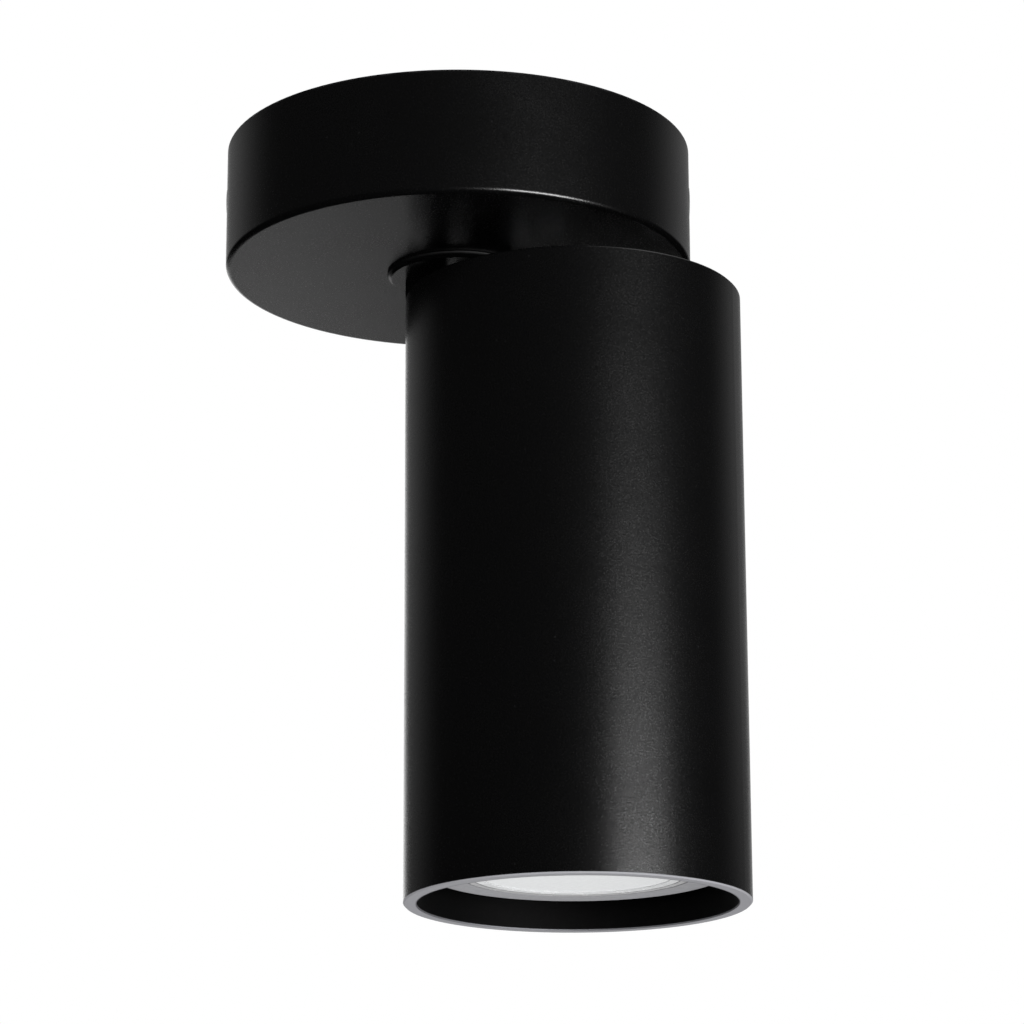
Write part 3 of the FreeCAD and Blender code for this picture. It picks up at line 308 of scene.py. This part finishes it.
zinc = metal("zinc_plate", (0.62, 0.63, 0.66), (0.42, 0.43, 0.47), 0.3)
dress(zinc, "ceiling_strap", "pan_stop_pin", "terminal_clamp_screws", "terminal_fixing_screws",
      "earth_stud", "earth_nut", "pan_stop_washer", "pan_nut", "hinge_bracket", "hinge_bracket_screws",
      "tilt_nut", "holder_bracket", "holder_bracket_screws", "lampholder_screws", "head_earth_screw")
dress(metal("spring_steel", (0.34, 0.32, 0.30), (0.2, 0.19, 0.19), 0.34),
      "pan_spring_washer", "tilt_spring_washer")
dress(metal("black_screw", (0.03, 0.03, 0.032), (0.016, 0.016, 0.017), 0.42),
      "canopy_screws", "tilt_screw")
dress(metal("brass", (0.74, 0.56, 0.25), (0.55, 0.39, 0.16), 0.3),
      "terminal_sleeves", "lampholder_contacts")
dress(metal("tinned_copper", (0.70, 0.68, 0.64), (0.5, 0.47, 0.43), 0.32),
      "earth_ring", "head_earth_ring")
dress(metal("nickel_pins", (0.74, 0.72, 0.68), (0.6, 0.58, 0.55), 0.2), "lamp_pins")


# ---- terminal block, washers and lampholder ----
# Moulded white polyamide, natural nylon and pressed steatite: pale, slightly waxy or chalky, with a
# faint mottling. The steatite has a thin glaze, and the cap's grommet is black silicone rubber.

def moulded(name, light, dark, roughness, cell=0.0012, strength=0.1, glaze=0.0):
    """Moulded plastic or pressed ceramic between two tones; glaze is the weight of its clear coat."""
    material, tree, shader, place = new_material(name)
    mottle = remap(tree, noise(tree, place, cell, 4), noise_low, noise_high, 0, 1)
    tree.links.new(blend_colours(tree, mottle, dark, light), shader.inputs["Base Color"])
    tree.links.new(remap(tree, mottle, 0, 1, roughness + 0.04, roughness - 0.04), shader.inputs["Roughness"])
    shader.inputs["Coat Weight"].default_value = glaze
    shader.inputs["Coat Roughness"].default_value = 0.12
    bump(tree, shader, noise(tree, place, cell / 5, 2), strength, 0.00002)
    return material


dress(moulded("white_polyamide", (0.84, 0.83, 0.79), (0.76, 0.75, 0.71), 0.42),
      "terminal_block", "lamp_base")
dress(moulded("nylon", (0.80, 0.78, 0.70), (0.70, 0.67, 0.6), 0.38),
      "pan_friction_washer", "tilt_washers")
dress(moulded("steatite", (0.86, 0.83, 0.76), (0.74, 0.70, 0.62), 0.4, 0.0022, 0.2, 0.5), "lampholder")
dress(moulded("silicone_rubber", (0.022, 0.022, 0.022), (0.012, 0.012, 0.012), 0.62), "cap_grommet")


# ---- earth stud ----
# A steel stud with a rolled thread, welded to the canopy's floor on a thin round flange, and plated
# with the strap. The earth ring and its nut sit over it.

thread_pitch = 0.0007
thread_depth = 0.0004
thread_sides = 24
same_height = 1e-7


def add_thread(shape, radius, bottom, top):
    """A rod with a rolled thread up the Z axis, cut square at both ends and closed."""
    turns = math.ceil((top - bottom) / thread_pitch) + 2
    start = bottom - thread_pitch
    flanks = ((radius - thread_depth, 0.0), (radius, 0.38), (radius, 0.5), (radius - thread_depth, 0.88),
              (radius - thread_depth, 1.0))
    corners = [shape.verts.new((reach, 0, start + share * thread_pitch)) for reach, share in flanks]
    edges = [shape.edges.new(pair) for pair in zip(corners, corners[1:])]
    bmesh.ops.spin(shape, geom=corners + edges, cent=(0, 0, 0), axis=(0, 0, 1),
                   dvec=(0, 0, thread_pitch / thread_sides), angle=2 * math.pi * turns,
                   steps=thread_sides * turns, use_merge=False)
    bmesh.ops.remove_doubles(shape, verts=shape.verts, dist=1e-6)
    for height, side in ((bottom, -1), (top, 1)):
        everything = shape.verts[:] + shape.edges[:] + shape.faces[:]
        bmesh.ops.bisect_plane(shape, geom=everything, plane_co=(0, 0, height), plane_no=(0, 0, side),
                               clear_outer=True)
        ends = [edge for edge in shape.edges if edge.is_boundary
                and all(abs(corner.co.z - height) < same_height for corner in edge.verts)]
        bmesh.ops.contextual_create(shape, geom=ends)


def place_mesh(name, mesh, material):
    """An object in the scene for a mesh, in one material."""
    mesh.materials.clear()
    mesh.materials.append(material)
    piece = bpy.data.objects.new(name, mesh)
    bpy.context.scene.collection.objects.link(piece)
    return piece


def new_piece(name, shape, material):
    """A finished piece from a bmesh, with its faces turned outwards."""
    bmesh.ops.recalc_face_normals(shape, faces=shape.faces)
    mesh = bpy.data.meshes.new(name)
    shape.to_mesh(mesh)
    shape.free()
    return place_mesh(name, mesh, material)


def add_disc(shape, radius, bottom, top, edge):
    """A flat round disc about the Z axis with rounded edges."""
    made = bmesh.ops.create_cone(shape, cap_ends=True, segments=48, radius1=radius, radius2=radius,
                                 depth=top - bottom)
    bmesh.ops.translate(shape, verts=made["verts"], vec=(0, 0, (top + bottom) / 2))
    corners = set(made["verts"])
    rims = [side for side in shape.edges if side.verts[0] in corners and side.verts[1] in corners
            and abs(side.verts[0].co.z - side.verts[1].co.z) < same_height]
    bmesh.ops.bevel(shape, geom=rims, offset=edge, affect="EDGES", segments=2, profile=0.5, material=-1)


stud_low, stud_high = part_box("earth_stud")
stud_centre = (stud_low + stud_high) / 2
stud_radius = 0.002
flange_radius = (stud_high.x - stud_low.x) / 2
flange_thickness = 0.0008
flange_edge = 0.00012
weld_depth = 0.0001
stud = bmesh.new()
add_thread(stud, stud_radius, stud_low.z + flange_thickness - weld_depth, stud_high.z)
add_disc(stud, flange_radius, stud_low.z, stud_low.z + flange_thickness, flange_edge)
bmesh.ops.translate(stud, verts=stud.verts, vec=(stud_centre.x, stud_centre.y, 0))
earth_stud = new_piece("earth_stud_threaded", stud, zinc)
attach(earth_stud, "canopy")
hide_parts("earth_stud")


# ---- leads ----
# Stranded copper cores in extruded silicone rubber: brown, blue, and green with two yellow stripes.
# They are bent by hand between the terminals and the stem, so every bend is an easy one.

lead_radius = 0.00075
silicone_roughness = 0.36
live_way = ((-4.4, 14.2, -13.65), (-9.0, 14.2, -13.65), (-13.5, 14.2, -13.65), (-13.5, 4.4, -4.85),
            (0.33, 0.89, -2.65), (0.33, 0.89, -8.5), (0.33, 0.89, -13.1))
neutral_way = ((-4.4, 22.7, -13.65), (-9.5, 22.7, -13.65), (-15.7, 22.7, -13.65), (-15.7, 2.2, -7.05),
               (-0.94, -0.16, -4.85), (-0.94, -0.16, -9.5), (-0.94, -0.16, -13.1))
earth_way = ((-4.4, 31.96, -13.28), (-10.0, 31.96, -13.28), (-17.9, 31.96, -13.28), (-17.9, 0.0, -4.85),
             (0.6, -0.73, -2.65), (0.6, -0.73, -8.5), (0.6, -0.73, -13.1))
stud_way = ((-4.4, 30.41, -13.28), (-8.0, 30.41, -13.28), (-12.3, 30.41, -13.28), (-11.8, 17.0, -17.5),
            (-15.5, 17.0, -17.5), (-18.1, 17.0, -17.5))


def round_lead(name, way, radius, material):
    """A round lead on a smooth line by points in millimetres, with a UV map along and round it."""
    curve = bpy.data.curves.new(name, "CURVE")
    curve.dimensions = "3D"
    spline = curve.splines.new("NURBS")
    spline.points.add(len(way) - 1)
    for control, point in zip(spline.points, way):
        control.co = (*[0.001 * number for number in point], 1)
    spline.order_u = 3
    spline.use_endpoint_u = True
    curve.resolution_u = 10
    curve.bevel_depth = radius
    curve.bevel_resolution = 3
    curve.use_fill_caps = True
    drawn = bpy.data.objects.new(name, curve)
    mesh = bpy.data.meshes.new_from_object(drawn)
    bpy.data.objects.remove(drawn)
    mesh.shade_smooth()
    return place_mesh(name, mesh, material)


def along_and_round(tree):
    """The UV map's two directions: along a lead and round it."""
    return directions(tree, tree.nodes.new("ShaderNodeUVMap").outputs["UV"])[:2]


def insulation(name, colour, shade, stripe=None):
    """Silicone rubber, a little waxy, with two stripes of another colour if it has one."""
    material = moulded(name, colour, shade, silicone_roughness)
    if stripe:
        tree, shader, _ = parts_of(material)
        around = along_and_round(tree)[1]
        halves = math_node(tree, "FRACT", math_node(tree, "MULTIPLY", around, 2.0), 0.0)
        over_colour(tree, shader, mask_between(tree, halves, 0.3, 0.75, 0.03), stripe)
    return material


brown = insulation("brown_insulation", (0.17, 0.07, 0.03), (0.13, 0.05, 0.022))
blue = insulation("blue_insulation", (0.03, 0.15, 0.50), (0.02, 0.11, 0.4))
striped = insulation("striped_insulation", (0.06, 0.30, 0.05), (0.045, 0.25, 0.04), (0.78, 0.62, 0.03))
for way, material, node, slot in ((live_way, brown, "canopy_lead_live", "live_insulation"),
                                  (neutral_way, blue, "canopy_lead_neutral", "neutral_insulation"),
                                  (earth_way, striped, "canopy_lead_earth", "earth_insulation")):
    lead = round_lead(node + "_bent", way, lead_radius, material)
    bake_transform(lead)
    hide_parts(node)
stud_lead = round_lead("earth_lead_bent", stud_way, lead_radius, striped)
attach(stud_lead, "canopy")
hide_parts("earth_lead")
dress(brown, "head_lead_live")
dress(blue, "head_lead_neutral")
dress(moulded("earth_insulation", (0.10, 0.36, 0.05), (0.5, 0.5, 0.04), silicone_roughness, 0.004),
      "head_lead_earth")


# ---- sleeves ----
# The three leads run through the hollow stem and into the head in braided glass-fibre sleeving,
# impregnated black. It is woven from flat bundles that cross over and under each other.

strand_turn = 44.0  # 7 strands in a bundle, at 2 pi each


def build_braid_group():
    """Bundles that cross over and under each other, from a coordinate along and one round."""
    group, start, end = node_group(
        "braid", [("Along", "NodeSocketFloat", 0.0), ("Round", "NodeSocketFloat", 0.0),
                  ("Rows", "NodeSocketFloat", 40.0), ("Bundles", "NodeSocketFloat", 8.0)],
        [("Height", "NodeSocketFloat"), ("Fibres", "NodeSocketFloat")])
    forward = math_node(group, "MULTIPLY", start.outputs["Along"], start.outputs["Rows"])
    sideways = math_node(group, "MULTIPLY", start.outputs["Round"], start.outputs["Bundles"])
    crossings, heights = [], []
    for operation in ("ADD", "SUBTRACT"):
        across = math_node(group, operation, forward, sideways)
        share = math_node(group, "FRACT", across, 0.0)
        heights.append(math_node(group, "SINE", math_node(group, "MULTIPLY", share, math.pi), 0.0))
        crossings.append(math_node(group, "FLOOR", across, 0.0))
    odd = math_node(group, "MODULO", math_node(group, "ADD", *crossings), 2.0)
    over = math_node(group, "ABSOLUTE", odd, 0.0)
    under = math_node(group, "SUBTRACT", 1.0, over)
    height = math_node(group, "ADD", math_node(group, "MULTIPLY", heights[0], over),
                       math_node(group, "MULTIPLY", heights[1], under))
    slant = math_node(group, "SUBTRACT", forward, sideways)
    fibres = math_node(group, "SINE", math_node(group, "MULTIPLY", slant, strand_turn), 0.0)
    group.links.new(height, end.inputs["Height"])
    group.links.new(remap(group, fibres, -1, 1, 0, 1), end.inputs["Fibres"])
    return group


braid = build_braid_group()


def braided(name, rows, upright):
    """Black impregnated braid with painted shade in the grooves between bundles, up the Z axis on a straight
    sleeve and by the UV map on a bent one.
    """
    material, tree, shader, place = new_material(name)
    if upright:
        x, y, forward = directions(tree, place)
        around = math_node(tree, "ARCTAN2", y, x)
    else:
        forward, around = along_and_round(tree)
    weave = use_group(tree, braid, Along=forward, Round=around, Rows=rows, Bundles=8.0)
    height, fibres = weave.outputs["Height"], weave.outputs["Fibres"]
    on_top = blend_colours(tree, fibres, (0.008, 0.008, 0.008), (0.02, 0.02, 0.02))
    # The grooves between bundles, where the weave's height is low, are painted nearly black as painted
    # shade.
    colour = blend_colours(tree, height, (0.003, 0.003, 0.003), on_top)
    tree.links.new(colour, shader.inputs["Base Color"])
    tree.links.new(remap(tree, fibres, 0, 1, 0.5, 0.75), shader.inputs["Roughness"])
    bump(tree, shader, height, 0.6, 0.0002)
    return material


sleeve_radius = 0.0019
turn_at_rest = math.radians(-20.6)
hinge_way = [(x * math.cos(turn_at_rest) - y * math.sin(turn_at_rest),
              x * math.sin(turn_at_rest) + y * math.cos(turn_at_rest), z)
             for x, y, z in ((0, 0, -20.8), (0, 0, -24.4), (3.0, 9.5, -24.4), (3.0, 9.5, -27.9))]
hinge_braid = braided("hinge_braid", 12.0, upright=False)
hinge_sleeve = round_lead("hinge_sleeve_braided", hinge_way, sleeve_radius, hinge_braid)
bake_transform(hinge_sleeve)
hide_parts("hinge_sleeve")
dress(braided("straight_braid", 900.0, upright=True), "stem_sleeve", "head_sleeve")


# ---- swivel, tube and cap ----
# The die-cast swivel and the extruded tube have the canopy's coat, and the pressed cap a dull one.
# The tube's lower rim is turned and left thin of coat, and its bore soaks up the light. The disc's
# round side under the canopy is duller than the rest of the casting.

tube_low, tube_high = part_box("lamp_tube")
tube_axis = ((tube_low.x + tube_high.x) / 2, (tube_low.y + tube_high.y) / 2)
tube_rim = tube_low.z
tube_radius = (tube_high.x - tube_low.x) / 2
tube_wall = 0.0022
mask_margin = 0.0002
turned_height = 0.00028
rim_grey = (0.31, 0.31, 0.33)
below_all = -1.0
disc_reach = -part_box("swivel_arm")[0].x


def add_roughness(tree, shader, mask, share):
    """Makes a material duller under a mask."""
    even = shader.inputs["Roughness"].links[0].from_socket
    dull = math_node(tree, "MULTIPLY", mask, share)
    tree.links.new(math_node(tree, "ADD", even, dull), shader.inputs["Roughness"])


def tube_coat():
    """The coat outside, a grey turned rim, and a bore that gives back hardly any light."""
    material = powder_coat("tube_coat")
    tree, shader, place = parts_of(material)
    radius = distance_from_axis(tree, place, tube_axis)
    height = directions(tree, place)[2]
    inside = mask_between(tree, radius, below_all, tube_radius - tube_wall + mask_margin, 0.0001)
    rim = mask_between(tree, height, below_all, tube_rim + turned_height, 0.00008)
    over_colour(tree, shader, rim, rim_grey)
    add_roughness(tree, shader, math_node(tree, "MAXIMUM", inside, rim), 0.4)
    bare = math_node(tree, "MULTIPLY", rim, 0.15)
    soaked = math_node(tree, "MULTIPLY", inside, 0.88)
    tree.links.new(math_node(tree, "MAXIMUM", bare, soaked), shader.inputs["Metallic"])
    return material


def casting_coat():
    """The coat on the swivel, thin and dull on the round side of its disc."""
    material = powder_coat("casting_coat")
    tree, shader, place = parts_of(material)
    reach = distance_from_axis(tree, place, (0, 0))
    disc_side = mask_between(tree, reach, disc_reach - mask_margin, 0.1, 0.0002)
    add_roughness(tree, shader, disc_side, 0.45)
    return material


dress(tube_coat(), "lamp_tube")
dress(casting_coat(), "swivel_arm")
cap_coat = moulded("cap_coat", (0.0012, 0.0012, 0.0012), (0.0009, 0.0009, 0.0009), 0.9)
cap_coat.node_tree.nodes["Principled BSDF"].inputs["Specular IOR Level"].default_value = 0.0
dress(cap_coat, "top_cap")


# ---- lamp ----
# A reflector lamp: a moulded housing of white plastic, coloured mid grey as painted shade, white lens ring,
# frosted lens with a fine prism texture, and behind it a white board with its light chips and a green driver
# board.

lens_light = (0.84, 0.855, 0.86)
lens_shade = (0.8, 0.81, 0.815)
prism_size = 0.0009
seam_radius = 0.0174
seam_width = 0.0003
seam_softness = 0.00008


def frosted_lens():
    """Moulded lens with fine prisms, each a little darker at its border."""
    material, tree, shader, place = new_material("frosted_lens")
    cells = tree.nodes.new("ShaderNodeTexVoronoi")
    cells.inputs["Scale"].default_value = 1 / prism_size
    tree.links.new(place, cells.inputs["Vector"])
    tone = remap(tree, cells.outputs["Distance"], 0, 0.7, 0, 1)
    tree.links.new(blend_colours(tree, tone, lens_light, lens_shade), shader.inputs["Base Color"])
    tree.links.new(remap(tree, tone, 0, 1, 0.3, 0.42), shader.inputs["Roughness"])
    bump(tree, shader, cells.outputs["Distance"], 0.3, 0.00008)
    return material


def ring_white():
    """A smooth ring whose inner part is as white as the lens, with a fine dark seam round it."""
    material = moulded("ring_white", (0.55, 0.55, 0.555), (0.52, 0.52, 0.525), 0.25, 0.004, 0.02)
    tree, shader, place = parts_of(material)
    radius = distance_from_axis(tree, place, tube_axis)
    inner = mask_between(tree, radius, below_all, seam_radius, seam_softness)
    seam = mask_between(tree, radius, seam_radius, seam_radius + seam_width, seam_softness)
    over_colour(tree, shader, inner, lens_shade)
    over_colour(tree, shader, seam, (0.16, 0.16, 0.165))
    return material


# The housing's mid grey is painted shade on white plastic.
dress(moulded("housing_grey_painted_shade", (0.37, 0.37, 0.385), (0.34, 0.34, 0.355), 0.4), "lamp_housing")
dress(ring_white(), "lens_ring")
dress(frosted_lens(), "lamp_lens")
dress(moulded("board_white", (0.84, 0.84, 0.82), (0.78, 0.78, 0.76), 0.3), "led_board")
dress(moulded("light_chips", (0.85, 0.66, 0.12), (0.75, 0.55, 0.08), 0.3), "leds")
dress(moulded("driver_green", (0.03, 0.2, 0.08), (0.02, 0.14, 0.06), 0.25), "driver_board")
dress(moulded("component_black", (0.05, 0.05, 0.055), (0.03, 0.03, 0.033), 0.4), "driver_parts")


# ---- studio ----
# A pale floor far below the light, a soft lamp in front on the right and a wide one underneath. To
# the camera the room is plain white. In reflections it is nearly black in front and below, dim
# behind, and brighter in the middle of its back wall and overhead.

floor_height = -1.2
floor_white, _, floor_shader, _ = new_material("floor_white")
floor_shader.inputs["Base Color"].default_value = (0.86, 0.86, 0.86, 1)
floor_shader.inputs["Roughness"].default_value = 0.9
ground = bmesh.new()
bmesh.ops.create_grid(ground, x_segments=1, y_segments=1, size=6.0)
bmesh.ops.translate(ground, verts=ground.verts, vec=(0, 0, floor_height))
floor = new_piece("floor", ground, floor_white)
floor.visible_glossy = False


def area_lamp(name, place, target, width, height, watts):
    """A rectangular lamp turned towards a point, itself unseen by the camera."""
    light = bpy.data.lights.new(name, "AREA")
    light.shape = "RECTANGLE"
    light.size = width
    light.size_y = height
    light.energy = watts
    lamp = bpy.data.objects.new(name, light)
    bpy.context.scene.collection.objects.link(lamp)
    lamp.location = place
    lamp.rotation_euler = (Vector(target) - Vector(place)).to_track_quat("-Z", "Y").to_euler()
    lamp.visible_camera = False
    return lamp


tube_middle = (tube_axis[0], tube_axis[1], (tube_low.z + tube_high.z) / 2)
area_lamp("key", (0.85, -0.99, -0.28), tube_middle, width=0.8, height=0.5, watts=15.5)
from_below = area_lamp("from_below", (-0.1, -0.2, -1.1), (0, 0, 0), width=1.2, height=1.2, watts=8.0)
from_below.visible_glossy = False

world = bpy.data.worlds.new("room")
bpy.context.scene.world = world
world.use_nodes = True
room = world.node_tree
background = room.nodes["Background"]
rightwards, away, upwards = directions(room, room.nodes.new("ShaderNodeTexCoord").outputs["Generated"])
sides = math_node(room, "MULTIPLY", remap(room, away, 0.2, 0.85, 0.016, 0.17),
                  remap(room, upwards, 0.04, 0.3, 0.0, 1.15))
back_wall = math_node(room, "MULTIPLY", remap(room, away, 0.88, 0.985, 0, 0.64),
                      remap(room, upwards, -0.3, 0.1, 0.3, 1))
left_of_head = remap(room, rightwards, -0.1, 0.05, 3.1, 0.0)
level = remap(room, upwards, 0.0, 0.14, 0, 1)
backdrop = math_node(room, "MULTIPLY", back_wall, math_node(room, "MAXIMUM", left_of_head, level))
above = remap(room, upwards, 0.68, 0.9, 0, 0.4)
seen_in_gloss = math_node(room, "ADD", math_node(room, "ADD", sides, backdrop), above)
ambient = 0.55
path = room.nodes.new("ShaderNodeLightPath")
beyond_ambient = math_node(room, "SUBTRACT", seen_in_gloss, ambient)
gloss = math_node(room, "MULTIPLY", path.outputs["Is Glossy Ray"], beyond_ambient)
seen = math_node(room, "MAXIMUM", path.outputs["Is Camera Ray"], path.outputs["Is Transmission Ray"])
direct = math_node(room, "MULTIPLY", seen, 1 - ambient)
total = math_node(room, "ADD", math_node(room, "ADD", gloss, direct), ambient)
room.links.new(total, background.inputs["Strength"])
background.inputs["Color"].default_value = (1, 1, 1, 1)

bpy.context.scene.view_settings.view_transform = "Standard"

camera_data = bpy.data.cameras.new("camera")
camera_data.lens = 130.09
camera_data.sensor_width = 36.0
camera = bpy.data.objects.new("camera", camera_data)
bpy.context.scene.collection.objects.link(camera)
camera.location = (0.00803, -0.6027, -0.2355)
camera_yaw = Matrix.Rotation(-0.0018, 3, "Z")
camera_pitch = Matrix.Rotation(math.pi / 2 + 0.2773, 3, "X")
camera_roll = Matrix.Rotation(-0.0037, 3, "Z")
camera.rotation_euler = (camera_yaw @ camera_pitch @ camera_roll).to_euler()
bpy.context.scene.camera = camera
